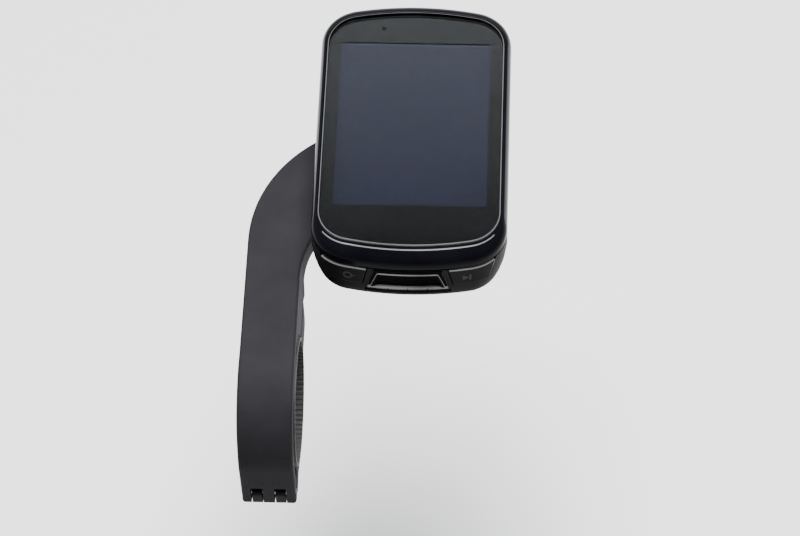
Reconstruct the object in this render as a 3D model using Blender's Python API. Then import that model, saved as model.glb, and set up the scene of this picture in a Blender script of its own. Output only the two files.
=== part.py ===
"""Cycling computer locked on an out-front handlebar mount, one object per physical piece.

Frame: metres, +Z up. The origin is the centre of the handlebar bore of the clamp, +X runs along
the handlebar towards the rider's right hand, +Y points ahead of the rider, and the computer's
display faces +Z. Dimensions below are in millimetres, and MM turns them into metres.
"""
from math import acos, asin, atan2, cos, degrees, hypot, pi, radians, sin, sqrt

import bmesh
import bpy
from mathutils import Vector

MM = 0.001
GAP = 0.3                    # clearance between pieces that touch

# Handlebar clamp, seen along +X
BAR_R = 15.9                 # 31.8 mm handlebar
PAD_R = 16.8                 # outside of the rubber strip round the bar
SEAT_R = 17.1                # inside of the clamp
BAND_R = 21.0                # outside of the clamp band
BAND_W = 14.2
TAIL_Z = -17.0               # bottom of the arm's rear leg
SPLIT_Z = 3.7                # bottom of the arm's front block
FRONT_Y = 30.0               # front face of the bolt block
PIN_Y = -19.0
PIN_Z = -13.4
PIN_R = 1.0
FINGER_X = (-3.05, 3.05)     # centres of the jaw's two hinge fingers
FINGER_W = 2.6
NOTCH_W = 3.2
NOTCH_TOP = -9.0
BOLT_Y = 22.8
BOLT_R = 2.0
SEAT_Z = -3.0                # where the washer sits in the jaw

# Arm and twist-lock head, seen from above
ARM_TOP = 21.0
ARM_UNDER = 14.0
HEAD_X = 35.5                # axis of the quarter turn
HEAD_Y = 57.6
HEAD_R = 16.9
HEAD_TOP = 25.6
SWEEP_R = 38.0               # outer edge of the curved arm
INSIDE_R = 26.0              # inner edge of the curved arm
INSIDE_Y = 25.6
SOCKET_FLOOR = 22.0
BOSS_R = 12.5                # computer's round boss
TAB_R = 15.0                 # across the boss's two tabs
TAB_Z = (22.4, 23.8)

# Computer case, seen from above and then as a section
CASE_X = HEAD_X
CASE_Y = 58.55
CASE_HALF_W = 25.1
CASE_HALF_L = 41.75
CORNER_R = 11.0
END_R = 84.0                 # slight arch of both ends
REAR_Z = 26.0                # flat rear face
SEAM_Z = 36.6                # split between the two cases
WALL = 1.2
# (height, inset of the long sides, inset of the ends)
REAR_SECTION = ((REAR_Z, 3.4, 1.2), (26.25, 2.5, 0.45), (26.9, 1.8, 0.05), (28.2, 1.2, 0.0),
                (30.0, 0.5, 0.25), (33.0, 0.0, 0.65), (SEAM_Z - 0.15, 0.0, 1.0))
FRONT_SECTION = ((SEAM_Z + 0.15, 0.0, 1.0), (38.3, 0.05, 1.05), (39.6, 0.25, 1.3),
                 (40.9, 0.65, 2.35), (41.7, 1.0, 3.85), (42.2, 1.55, 4.6))
GLASS_SIDE = 1.85            # glass edge inset from the widest outline
GLASS_END = 4.9
GLASS_TOP = 42.4
GLASS_UNDER = 41.2
LEDGE_Z = 40.2
SCREEN_Y = 60.3
SCREEN_W = 39.3
SCREEN_H = 51.4
SCREW_X = 18.2
SCREW_Y = 32.6

# Buttons and port cover in the lower end wall
BUTTON_IN = (10.4, 11.6)     # inner end at the top and at the bottom
BUTTON_OUT = (22.0, 20.6)
BUTTON_Z = (30.6, 36.2)
BUTTON_PROUD = 0.4
BUTTON_DEPTH = 2.0
PORT_X = (8.6, 10.9)         # half-width of the cover at the top and at the bottom
PORT_Z = (28.0, 36.0)
PORT_T = 1.5
POWER_Y = 62.0


# ---------------------------------------------------------------- meshes
def finish(name, points, faces, material, origin=(0, 0, 0), smooth=None):
    """Make a closed object from points in millimetres, with its origin at origin."""
    bm = bmesh.new()
    verts = [bm.verts.new((Vector(p) - Vector(origin)) * MM) for p in points]
    for face in faces:
        bm.faces.new([verts[i] for i in face])
    bmesh.ops.recalc_face_normals(bm, faces=bm.faces)
    quads = [face for face in bm.faces if len(face.verts) == 4]
    bmesh.ops.triangulate(bm, faces=quads)       # lofted quads are twisted, and cuts need flat faces
    mesh = bpy.data.meshes.new(name)
    bm.to_mesh(mesh)
    bm.free()
    if smooth:
        mesh.shade_smooth()
        mesh.set_sharp_from_angle(angle=radians(smooth))
    obj = bpy.data.objects.new(name, mesh)
    obj.location = Vector(origin) * MM
    bpy.context.scene.collection.objects.link(obj)
    if material:
        mesh.materials.append(material)
    return obj


def skin(name, loops, material, wrap=False, origin=(0, 0, 0), smooth=None):
    """Join loops of equally many points; the ends are capped, or joined to each other."""
    count = len(loops[0])
    points = [p for loop in loops for p in loop]
    faces = []
    pairs = [(k, k + 1) for k in range(len(loops) - 1)]
    if wrap:
        pairs.append((len(loops) - 1, 0))
    else:
        faces.append(tuple(range(count)))
        last = (len(loops) - 1) * count
        faces.append(tuple(range(last, last + count)))
    for low, high in pairs:
        for i in range(count):
            j = (i + 1) % count
            faces.append((low * count + i, low * count + j, high * count + j, high * count + i))
    return finish(name, points, faces, material, origin, smooth)


def prism(name, outline, axis, low, high, material=None, origin=(0, 0, 0), smooth=None):
    """Extrude an outline along an axis; the outline holds the other two axes in X, Y, Z order."""
    place = {"X": lambda u, v, w: (w, u, v), "Y": lambda u, v, w: (u, w, v),
             "Z": lambda u, v, w: (u, v, w)}[axis]
    loops = [[place(u, v, w) for u, v in outline] for w in (low, high)]
    return skin(name, loops, material, origin=origin, smooth=smooth)


def turned(name, profile, centre, material=None, axis="Z", steps=32, wrap=False, origin=None):
    """Turn a profile of (radius, height) pairs about an axis through centre."""
    cx, cy, cz = centre
    loops = []
    for radius, height in profile:
        loop = []
        for k in range(steps):
            u = radius * cos(2 * pi * k / steps)
            v = radius * sin(2 * pi * k / steps)
            offset = {"X": (height, u, v), "Y": (u, height, v), "Z": (u, v, height)}[axis]
            loop.append((cx + offset[0], cy + offset[1], cz + offset[2]))
        loops.append(loop)
    return skin(name, loops, material, wrap, origin or centre, 35)


def rod(name, radius, low, high, centre, material=None, axis="Z", steps=32):
    return turned(name, ((radius, low), (radius, high)), centre, material, axis, steps)


def block(name, low, high, material=None, bevel=0.0):
    """Box between two corners, its origin at its centre."""
    x0, y0, z0 = low
    x1, y1, z1 = high
    outline = [(x0, y0), (x1, y0), (x1, y1), (x0, y1)]
    middle = tuple((a + b) / 2 for a, b in zip(low, high))
    obj = prism(name, outline, "Z", z0, z1, material, middle)
    if bevel:
        edge = obj.modifiers.new("edge", "BEVEL")
        edge.width = bevel * MM
        edge.segments = 2
    return obj


def combine(target, tool, operation):
    """Add a Boolean whose tool is a hidden helper."""
    tool.hide_render = True
    tool.display_type = "WIRE"
    boolean = target.modifiers.new(operation.lower(), "BOOLEAN")
    boolean.operation = operation
    boolean.object = tool
    return target


def arc(centre, radius, start, stop, steps):
    """Points of an arc, both ends included; angles in degrees."""
    angles = [radians(start + (stop - start) * k / steps) for k in range(steps + 1)]
    return [(centre[0] + radius * cos(a), centre[1] + radius * sin(a)) for a in angles]


# ---------------------------------------------------------------- materials
def plastic(name, colour, roughness, metallic=0.0):
    material = bpy.data.materials.new(name)
    material.use_nodes = True
    shader = material.node_tree.nodes["Principled BSDF"]
    shader.inputs["Base Color"].default_value = (*colour, 1.0)
    shader.inputs["Roughness"].default_value = roughness
    shader.inputs["Metallic"].default_value = metallic
    return material


def make_materials():
    return {
        "mount": plastic("matte_black_nylon", (0.030, 0.029, 0.032), 0.62),
        "case": plastic("satin_black_case", (0.020, 0.020, 0.022), 0.40),
        "gloss": plastic("gloss_black_rim", (0.012, 0.012, 0.014), 0.12),
        "glass": plastic("dark_cover_glass", (0.015, 0.016, 0.018), 0.05),
        "screen": plastic("display_panel", (0.050, 0.058, 0.080), 0.20),
        "button": plastic("grey_black_button", (0.045, 0.045, 0.048), 0.35),
        "rubber": plastic("black_rubber", (0.025, 0.025, 0.025), 0.80),
        "steel": plastic("bright_steel", (0.62, 0.62, 0.63), 0.28, 1.0),
        "bolt": plastic("black_oxide_steel", (0.10, 0.10, 0.11), 0.40, 0.9),
        "brass": plastic("brass", (0.72, 0.52, 0.22), 0.30, 1.0),
        "board": plastic("solder_mask", (0.015, 0.10, 0.05), 0.45),
        "cell": plastic("battery_film", (0.35, 0.37, 0.40), 0.35),
        "ceramic": plastic("antenna_ceramic", (0.70, 0.66, 0.55), 0.50),
        "film": plastic("amber_film", (0.55, 0.28, 0.05), 0.35),
        "tin": plastic("tinned_sheet", (0.60, 0.61, 0.62), 0.35, 1.0),
        "membrane": plastic("white_membrane", (0.75, 0.75, 0.73), 0.70),
    }


# ---------------------------------------------------------------- case outline
def outline_shape(side, end):
    """Half-width, half-length, corner and end radii of the outline at a pair of insets."""
    return CASE_HALF_W - side, CASE_HALF_L - end, CORNER_R - side, END_R - end


def case_loop(z, side, end):
    """Closed loop of points: straight sides, arched ends and round corners."""
    a, b, corner, arch = outline_shape(side, end)
    corner_y = b - arch + sqrt((arch - corner) ** 2 - (a - corner) ** 2)
    turn = degrees(atan2(corner_y - (b - arch), a - corner))
    quarter = arc((a - corner, corner_y), corner, 0, turn, 6)
    quarter += arc((0, b - arch), arch, turn, 90, 4)[1:]
    half = quarter + [(-x, y) for x, y in reversed(quarter[:-1])]
    loop = half + [(x, -y) for x, y in reversed(half)]
    return [(CASE_X + x, CASE_Y + y, z) for x, y in loop]


def end_insets(z):
    """Side and end insets of the case's outside at a height in the lower end wall."""
    table = REAR_SECTION + FRONT_SECTION
    for low, high in zip(table, table[1:]):
        if low[0] <= z <= high[0]:
            t = (z - low[0]) / (high[0] - low[0])
            return low[1] + t * (high[1] - low[1]), low[2] + t * (high[2] - low[2])
    return table[-1][1:]


def end_wall(x, z, depth):
    """Point of the lower end wall at x from the middle, moved inwards by depth."""
    a, b, corner, arch = outline_shape(*end_insets(z))
    corner_y = b - arch + sqrt((arch - corner) ** 2 - (a - corner) ** 2)
    change = (a - corner) * arch / (arch - corner)
    if abs(x) <= change:
        lean = asin(x / arch)
        y = -(b - arch) - arch * cos(lean)
    else:
        side = a - corner if x > 0 else corner - a
        lean = asin((x - side) / corner)
        y = -corner_y - corner * cos(lean)
    return (CASE_X + x - depth * sin(lean), CASE_Y + y + depth * cos(lean), z)


def wall_slab(name, left, right, z_low, z_high, outside, inside, material, hinge=None, steps=8):
    """Slab that follows the lower end wall; left and right hold the ends at top and bottom."""
    loops = []
    for k in range(steps + 1):
        t = k / steps
        top = left[0] + t * (right[0] - left[0])
        bottom = left[1] + t * (right[1] - left[1])
        loops.append([end_wall(bottom, z_low, outside), end_wall(top, z_high, outside),
                      end_wall(top, z_high, inside), end_wall(bottom, z_low, inside)])
    centre = hinge or tuple(loops[steps // 2][1])
    return skin(name, loops, material, origin=centre, smooth=35)


# ---------------------------------------------------------------- mount
def arm_plan():
    """Outline of the arm and its head from above."""
    half = BAND_W / 2
    sweep_x = SWEEP_R - half
    sweep_y = HEAD_Y - sqrt((SWEEP_R - HEAD_R) ** 2 - (HEAD_X - sweep_x) ** 2)
    meet = degrees(atan2(HEAD_Y - sweep_y, HEAD_X - sweep_x))
    inside = (half + INSIDE_R, INSIDE_Y)
    reach = hypot(HEAD_X - inside[0], HEAD_Y - inside[1])
    bearing = degrees(atan2(HEAD_Y - inside[1], HEAD_X - inside[0]))
    opening = degrees(acos((INSIDE_R ** 2 + reach ** 2 - HEAD_R ** 2) / (2 * INSIDE_R * reach)))
    leave = bearing + opening
    notch_x = inside[0] + INSIDE_R * cos(radians(leave))
    notch_y = inside[1] + INSIDE_R * sin(radians(leave))
    head_stop = degrees(atan2(notch_y - HEAD_Y, notch_x - HEAD_X))
    points = [(half, -30.0)]
    points += arc(inside, INSIDE_R, 180, leave, 8)
    points += arc((HEAD_X, HEAD_Y), HEAD_R, head_stop, meet, 22)[1:]
    points += arc((sweep_x, sweep_y), SWEEP_R, meet, 180, 14)[1:]
    points.append((-half, -30.0))
    return points


def arm_section():
    """Side view of the arm: rear leg, clamp band, bolt block and thin arm."""
    bore_y = sqrt(SEAT_R ** 2 - SPLIT_Z ** 2)
    front = degrees(asin(SPLIT_Z / SEAT_R))
    points = [(-SEAT_R, TAIL_Z), (-BAND_R, TAIL_Z)]
    points += arc((0, 0), BAND_R, 180, 90, 10)
    points += [(90.0, ARM_TOP), (90.0, ARM_UNDER)]
    points += arc((FRONT_Y + 7.0, ARM_UNDER - 7.0), 7.0, 90, 180, 5)
    points += [(FRONT_Y, SPLIT_Z + 1.0), (FRONT_Y - 1.0, SPLIT_Z), (bore_y, SPLIT_Z)]
    points += arc((0, 0), SEAT_R, front, 180, 18)[1:]
    return points


def sector(radius, middle, half_angle, steps=6):
    """Outline of a round sector about the head's axis."""
    return [(HEAD_X, HEAD_Y)] + arc((HEAD_X, HEAD_Y), radius, middle - half_angle,
                                    middle + half_angle, steps)


def make_mount_arm(material):
    arm = prism("mount_arm", arm_plan(), "Z", -20.0, 30.0, material, smooth=35)
    combine(arm, prism("arm_section", arm_section(), "X", -20.0, 70.0), "INTERSECT")
    head = (HEAD_X, HEAD_Y, 0)
    outside = ((HEAD_R - 1.1, ARM_UNDER + 1.0), (HEAD_R - GAP, ARM_UNDER + 1.8),
               (HEAD_R - GAP, HEAD_TOP - 0.5), (HEAD_R - GAP - 0.5, HEAD_TOP))
    combine(arm, turned("head_ring", outside, head, steps=48), "UNION")
    lip = BOSS_R + 0.35
    groove = TAB_R + 0.35
    socket = ((groove, SOCKET_FLOOR), (groove, TAB_Z[1] + GAP), (lip, TAB_Z[1] + GAP + 0.2),
              (lip, HEAD_TOP + 1.0))
    combine(arm, turned("socket", socket, head, steps=48), "DIFFERENCE")
    for side, middle in (("left", 180), ("right", 0)):
        entry = prism("tab_entry_" + side, sector(TAB_R + 0.2, middle, 26), "Z", 23.0, 28.0)
        combine(arm, entry, "DIFFERENCE")
    pocket = turned("head_underside", ((13.0, 10.0), (13.0, 16.5), (12.0, 17.5)), head, steps=48)
    combine(arm, pocket, "DIFFERENCE")
    insert = ((3.2, 0.0), (3.2, 11.3), (2.4, 11.6), (2.4, 15.0))
    combine(arm, turned("insert_pocket", insert, (0, BOLT_Y, 0)), "DIFFERENCE")
    for k, x in enumerate(FINGER_X):
        half = NOTCH_W / 2
        notch = block("tail_notch_%d" % (k + 1), (x - half, -24.0, -20.0), (x + half, -14.0, NOTCH_TOP))
        combine(arm, notch, "DIFFERENCE")
    hole = rod("pin_hole", PIN_R + 0.1, -7.3, 7.3, (0, PIN_Y, PIN_Z), axis="X", steps=20)
    combine(arm, hole, "DIFFERENCE")
    return arm


def jaw_section():
    """Side view of the jaw: front lug, lower band and the web of the hinge fingers."""
    lug_top = SPLIT_Z - 0.5
    lug_low = -7.6
    start = degrees(asin(lug_top / SEAT_R))
    lug_end = degrees(asin(lug_low / BAND_R))
    points = [(sqrt(SEAT_R ** 2 - lug_top ** 2), lug_top), (FRONT_Y - 1.5, lug_top),
              (FRONT_Y - 0.5, lug_top - 1.0), (FRONT_Y - 0.5, lug_low + 2.0),
              (FRONT_Y - 2.5, lug_low)]
    points += arc((0, 0), BAND_R, lug_end, -124, 14)
    points += [(-13.6, -18.4), (-19.6, -18.4), (-20.9, -17.1), (-20.9, -12.6), (-20.0, -11.6),
               (-15.6, -11.6)]
    points += arc((0, 0), SEAT_R, -147, start, 18)[:-1]
    return points


def make_clamp_jaw(material):
    half = BAND_W / 2
    jaw = prism("clamp_jaw", jaw_section(), "X", -half, half, material,
                (0, PIN_Y, PIN_Z), 35)
    edges = [-half - 2.0]
    for x in FINGER_X:
        edges += [x - FINGER_W / 2, x + FINGER_W / 2]
    edges.append(half + 2.0)
    for k in range(0, len(edges), 2):
        land = block("tail_land_%d" % (k // 2 + 1), (edges[k], -24.0, -20.0),
                     (edges[k + 1], -SEAT_R + GAP, -8.0))
        combine(jaw, land, "DIFFERENCE")
    bolt_way = ((4.9, -20.0), (4.9, SEAT_Z), (3.0, SEAT_Z + 0.01), (3.0, 8.0))
    combine(jaw, turned("bolt_way", bolt_way, (0, BOLT_Y, 0)), "DIFFERENCE")
    hole = rod("finger_hole", PIN_R + 0.1, -10.0, 10.0, (0, PIN_Y, PIN_Z), axis="X", steps=20)
    return combine(jaw, hole, "DIFFERENCE")


def make_clamp_hardware(materials):
    rod("hinge_pin", PIN_R - 0.15, -7.0, 7.0, (0, PIN_Y, PIN_Z), materials["steel"], "X", 20)
    half = BAND_W / 2 + 0.4
    strip = arc((0, 0), PAD_R, 22, 366, 40) + arc((0, 0), BAR_R, 366, 22, 40)
    prism("bar_pad", strip, "X", -half, half, materials["rubber"], smooth=35)
    insert = ((2.35, 4.4), (2.9, 4.4), (2.9, 11.0), (2.35, 11.0))
    turned("thread_insert", insert, (0, BOLT_Y, 0), materials["brass"], wrap=True)
    washer = ((2.3, SEAT_Z - 1.1), (4.1, SEAT_Z - 1.1), (4.1, SEAT_Z - 0.3), (2.3, SEAT_Z - 0.3))
    turned("bolt_washer", washer, (0, BOLT_Y, 0), materials["bolt"], wrap=True)
    top = SEAT_Z - 1.4
    profile = ((3.2, top - 3.6), (3.5, top - 3.3), (3.5, top), (BOLT_R, top + 0.01),
               (BOLT_R, 12.4), (BOLT_R - 0.6, 13.0))
    bolt = turned("clamp_bolt", profile, (0, BOLT_Y, 0), materials["bolt"])
    key = rod("bolt_key", 3.0 / sqrt(3.0), top - 5.0, top - 1.6, (0, BOLT_Y, 0), steps=6)
    combine(bolt, key, "DIFFERENCE")


# ---------------------------------------------------------------- computer case
def make_rear_housing(material):
    outside = [case_loop(*level) for level in REAR_SECTION]
    rim = REAR_SECTION[-1]
    inside = [case_loop(rim[0], WALL, rim[2] + WALL), case_loop(29.0, WALL + 0.9, 1.6),
              case_loop(27.6, WALL + 1.6, 2.2), case_loop(REAR_Z + WALL, 4.2, 3.4)]
    rear = skin("rear_housing", outside + inside, material, smooth=35)
    head = (HEAD_X, HEAD_Y, 0)
    boss = ((BOSS_R - 0.4, SOCKET_FLOOR + GAP), (BOSS_R, SOCKET_FLOOR + GAP + 0.4),
            (BOSS_R, REAR_Z + 0.5))
    combine(rear, turned("twist_boss", boss, head, steps=48), "UNION")
    for side, middle in (("front", 90), ("back", 270)):
        tab = prism("twist_tab_" + side, sector(TAB_R, middle, 22), "Z", *TAB_Z)
        combine(rear, tab, "UNION")
    port = wall_slab("port_block", (-12.0, -12.0), (12.0, 12.0), 27.0, 36.4, 0.6, 3.6, None,
                     steps=7)
    combine(rear, port, "UNION")
    recess = wall_slab("port_recess", (-PORT_X[0] - 0.1, -PORT_X[1] - 0.3),
                       (PORT_X[0] + 0.1, PORT_X[1] + 0.3), PORT_Z[0] - GAP, PORT_Z[1] + GAP,
                       -3.0, PORT_T + GAP, None)
    combine(rear, recess, "DIFFERENCE")
    socket = block("socket_opening", (CASE_X - 4.6, 17.0, 31.6), (CASE_X + 4.6, 24.0, 35.4))
    combine(rear, socket, "DIFFERENCE")
    for side, sign in (("left", -1), ("right", 1)):
        near = tuple(sign * (x - GAP) for x in BUTTON_IN)
        far = tuple(sign * (x + 1.5 * GAP) for x in BUTTON_OUT)
        opening = wall_slab("button_opening_" + side, near, far, BUTTON_Z[0] - GAP, SEAM_Z + 0.1,
                            -3.0, 3.4, None)
        combine(rear, opening, "DIFFERENCE")
        for end, along in (("low", -1), ("high", 1)):
            spot = (CASE_X + sign * SCREW_X, CASE_Y + along * SCREW_Y, 0)
            pad = rod("screw_pad_%s_%s" % (side, end), 3.0, 26.6, 28.3, spot)
            combine(rear, pad, "UNION")
            way = ((1.95, 20.0), (1.95, 27.3), (1.15, 27.31), (1.15, 30.0))
            combine(rear, turned("screw_way_%s_%s" % (side, end), way, spot), "DIFFERENCE")
    power = block("power_opening", (CASE_X - 27.0, POWER_Y - 5.3, 29.9),
                  (CASE_X - 22.0, POWER_Y + 5.3, 33.9))
    combine(rear, power, "DIFFERENCE")
    vent = rod("vent_hole", 0.8, 20.0, 30.0, (CASE_X + 10.0, CASE_Y + 30.0, 0), steps=16)
    return combine(rear, vent, "DIFFERENCE")


def make_front_housing(material):
    outside = [case_loop(*level) for level in FRONT_SECTION]
    pocket = (GLASS_SIDE - GAP, GLASS_END - GAP)
    last = FRONT_SECTION[-1]
    inside = [case_loop(last[0], pocket[0] + 0.02, pocket[1] + 0.02),
              case_loop(LEDGE_Z, *pocket),
              case_loop(LEDGE_Z, 3.9, 6.7), case_loop(39.2, 3.9, 6.7),
              case_loop(38.5, WALL, WALL + 1.3), case_loop(SEAM_Z + 0.15, WALL, WALL + 1.0)]
    front = skin("front_housing", outside + inside, material, wrap=True, smooth=35)
    for side, sign in (("left", -1), ("right", 1)):
        for end, along in (("low", -1), ("high", 1)):
            spot = (CASE_X + sign * SCREW_X, CASE_Y + along * SCREW_Y, 0)
            post = rod("screw_post_%s_%s" % (side, end), 1.9, 28.7, 39.7, spot)
            combine(front, post, "UNION")
            bore = rod("screw_bore_%s_%s" % (side, end), 1.15, 28.0, 36.0, spot, steps=20)
            combine(front, bore, "DIFFERENCE")
    return front


def make_screws(material):
    spots = [(sx * SCREW_X, sy * SCREW_Y) for sy in (-1, 1) for sx in (-1, 1)]
    for k, (x, y) in enumerate(spots):
        profile = ((1.2, 26.2), (1.6, 26.4), (1.6, 27.0), (0.85, 27.01), (0.85, 34.6), (0.5, 35.0))
        centre = (CASE_X + x, CASE_Y + y, 0)
        screw = turned("housing_screw_%d" % (k + 1), profile, centre, material, steps=20)
        drive = rod("screw_drive_%d" % (k + 1), 0.75, 25.0, 26.75, centre, steps=6)
        combine(screw, drive, "DIFFERENCE")


def make_front(materials):
    edge = (GLASS_SIDE, GLASS_END)
    glass = [case_loop(GLASS_UNDER, *edge), case_loop(GLASS_TOP - 0.35, *edge),
             case_loop(GLASS_TOP - 0.08, edge[0] + 0.15, edge[1] + 0.15),
             case_loop(GLASS_TOP, edge[0] + 0.6, edge[1] + 0.6)]
    skin("cover_glass", glass, materials["glass"], smooth=35)
    ring = [case_loop(z, side, side + 3.05) for z, side in
            ((40.5, 2.1), (40.9, 2.1), (40.9, 3.6), (40.5, 3.6))]
    skin("glass_adhesive", ring, materials["rubber"], wrap=True)
    seal = [case_loop(z, side, side + 1.35) for z, side in
            ((36.5, 1.5), (37.7, 1.5), (37.7, 2.3), (36.5, 2.3))]
    skin("housing_seal", seal, materials["rubber"], wrap=True)


# ---------------------------------------------------------------- computer internals
def case_block(name, size, centre, z_low, material, bevel=0.0):
    """Box of size (x, y, z) whose base stands at z_low, centre given from the case's middle."""
    x = CASE_X + centre[0]
    y = CASE_Y + centre[1]
    low = (x - size[0] / 2, y - size[1] / 2, z_low)
    high = (x + size[0] / 2, y + size[1] / 2, z_low + size[2])
    return block(name, low, high, material, bevel)


def make_display(materials):
    offset = SCREEN_Y - CASE_Y
    case_block("display_module", (SCREEN_W + 1.6, SCREEN_H + 3.6, 1.3), (0, offset - 0.4), 39.6,
               materials["screen"], 0.2)
    plate = case_block("display_frame", (41.4, 55.0, 0.6), (0, offset - 0.4), 38.7,
                       materials["tin"])
    combine(plate, case_block("frame_window", (30.0, 40.0, 4.0), (0, offset - 0.4), 37.0, None),
            "DIFFERENCE")
    case_block("display_flex", (12.0, 20.0, 0.2), (0, offset - 8.0), 38.2, materials["film"])
    case_block("light_sensor", (2.4, 1.8, 0.8), (-8.7, 31.9), 40.1, materials["ceramic"])


def make_electronics(materials):
    case_block("main_board", (43.0, 56.0, 0.9), (0, 1.0), 35.9, materials["board"])
    case_block("processor_shield", (18.0, 16.0, 0.8), (-7.0, 9.0), 37.1, materials["tin"], 0.2)
    case_block("radio_shield", (12.0, 14.0, 0.8), (13.0, 18.0), 37.1, materials["tin"], 0.2)
    case_block("battery", (38.0, 42.0, 5.6), (0, 5.0), 28.2, materials["cell"], 0.6)
    case_block("battery_connector", (6.0, 3.0, 1.2), (14.0, -20.0), 34.4, materials["membrane"])
    case_block("satellite_antenna", (20.0, 5.0, 3.0), (0, 34.2), 35.2, materials["ceramic"], 0.3)
    case_block("radio_antenna", (9.0, 2.6, 1.4), (-15.5, 26.8), 37.1, materials["ceramic"], 0.1)
    beeper = (CASE_X - 14.0, CASE_Y - 22.5, 0)
    turned("beeper", ((4.6, 31.9), (4.8, 32.1), (4.8, 35.5)), beeper, materials["bolt"])
    vent = (CASE_X + 10.0, CASE_Y + 30.0, 0)
    rod("vent_membrane", 2.6, REAR_Z + WALL + GAP, REAR_Z + WALL + GAP + 0.4, vent,
        materials["membrane"])
    usb = case_block("usb_socket", (7.6, 5.4, 2.7), (0, -34.3), 32.2, materials["steel"], 0.4)
    mouth = case_block("usb_mouth", (6.6, 5.0, 1.8), (0, -35.0), 32.65, None)
    combine(usb, mouth, "DIFFERENCE")


# ---------------------------------------------------------------- buttons and cover
def make_end_buttons(materials):
    for name, sign in (("lap", -1), ("start", 1)):
        near = tuple(sign * x for x in BUTTON_IN)
        far = tuple(sign * x for x in BUTTON_OUT)
        wall_slab(name + "_button", near, far, BUTTON_Z[0], BUTTON_Z[1], -BUTTON_PROUD,
                  BUTTON_DEPTH - BUTTON_PROUD, materials["button"])
        seal_near = tuple(sign * (x + 1.2) for x in BUTTON_IN)
        seal_far = tuple(sign * (x - 2.6) for x in BUTTON_OUT)
        wall_slab(name + "_seal", seal_near, seal_far, BUTTON_Z[0] + 0.8, BUTTON_Z[1] - 0.6,
                  2.3, 2.9, materials["rubber"])
        switch = case_block(name + "_switch", (4.0, 2.0, 3.0), (sign * 13.6, -35.3), 32.0,
                            materials["tin"], 0.2)
        switch.rotation_euler.z = radians(-9.0 * sign)


def make_power_button(materials):
    x = CASE_X - CASE_HALF_W
    y0, y1 = POWER_Y - 5.0, POWER_Y + 5.0
    outline = arc((y0 + 1.7, 31.9), 1.7, 90, 270, 8) + arc((y1 - 1.7, 31.9), 1.7, -90, 90, 8)
    prism("power_button", outline, "X", x + 0.15, x + 1.9, materials["button"],
          (x, POWER_Y, 31.9), 35)
    block("power_seal", (x + 2.3, y0 + 1.0, 30.6), (x + 2.8, y1 - 1.0, 33.2),
          materials["rubber"])
    block("power_switch", (x + 3.2, POWER_Y - 2.2, 30.6), (x + 5.0, POWER_Y + 2.2, 33.2),
          materials["tin"], 0.2)


def make_port_cover(material):
    """Flap with a finger lip along its lower edge, turning about its upper edge."""
    hinge = (CASE_X, end_wall(0, PORT_Z[1], 0)[1], PORT_Z[1])
    cover = wall_slab("port_cover", (-PORT_X[0], -PORT_X[1]), (PORT_X[0], PORT_X[1]),
                      PORT_Z[0], PORT_Z[1], 0.05, PORT_T, material, hinge)
    lip_x = PORT_X[1] - 0.6
    lip = wall_slab("cover_lip", (-lip_x, -lip_x), (lip_x, lip_x), PORT_Z[0] + 0.2,
                    PORT_Z[0] + 1.9, -0.5, 0.9, None)
    return combine(cover, lip, "UNION")


# ---------------------------------------------------------------- assembly
MOUNT_PIECES = ("mount_arm", "clamp_jaw", "hinge_pin", "bar_pad", "thread_insert",
                "bolt_washer", "clamp_bolt")


def hang_computer():
    """Parent every piece of the computer to an empty on the axis of the quarter turn."""
    axis = bpy.data.objects.new("quarter_turn_axis", None)
    axis.location = Vector((HEAD_X, HEAD_Y, REAR_Z)) * MM
    bpy.context.scene.collection.objects.link(axis)
    for obj in list(bpy.context.scene.collection.objects):
        if obj.type == "MESH" and not obj.hide_render and obj.name not in MOUNT_PIECES:
            obj.location -= axis.location
            obj.parent = axis


def main():
    for obj in list(bpy.data.objects):
        bpy.data.objects.remove(obj)
    materials = make_materials()
    make_mount_arm(materials["mount"])
    make_clamp_jaw(materials["mount"])
    make_clamp_hardware(materials)
    make_rear_housing(materials["case"])
    make_front_housing(materials["gloss"])
    make_screws(materials["bolt"])
    make_front(materials)
    make_display(materials)
    make_electronics(materials)
    make_end_buttons(materials)
    make_power_button(materials)
    make_port_cover(materials["rubber"])
    hang_computer()


main()
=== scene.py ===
"""Looks of a cycling computer locked on its out-front handlebar mount.

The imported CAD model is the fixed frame. Every piece that shows is modelled again here with its
rounded edges and fine features. Shapes are drawn in millimetres in the frame's axes, and MM turns
them into metres: +X runs along the handlebar, +Y ahead of the rider, +Z out of the display.
"""

from math import acos, asin, atan2, cos, degrees, floor, hypot, pi, radians, sin, sqrt

import bmesh
import bpy
from mathutils import Matrix, Vector


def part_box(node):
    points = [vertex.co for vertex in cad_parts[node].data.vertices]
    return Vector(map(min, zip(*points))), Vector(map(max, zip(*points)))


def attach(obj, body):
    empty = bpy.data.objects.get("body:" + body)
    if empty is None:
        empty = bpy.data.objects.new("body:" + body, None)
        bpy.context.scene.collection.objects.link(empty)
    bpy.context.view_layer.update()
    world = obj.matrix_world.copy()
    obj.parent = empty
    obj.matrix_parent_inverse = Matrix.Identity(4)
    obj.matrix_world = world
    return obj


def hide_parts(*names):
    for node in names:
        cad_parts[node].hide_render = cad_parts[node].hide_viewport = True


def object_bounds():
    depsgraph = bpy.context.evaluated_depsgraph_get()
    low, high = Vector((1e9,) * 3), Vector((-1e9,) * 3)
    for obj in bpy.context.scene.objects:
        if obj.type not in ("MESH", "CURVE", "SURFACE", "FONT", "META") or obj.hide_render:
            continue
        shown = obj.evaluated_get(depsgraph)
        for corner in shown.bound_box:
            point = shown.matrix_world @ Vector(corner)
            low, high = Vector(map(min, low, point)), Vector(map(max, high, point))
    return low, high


MM = 0.001
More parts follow.
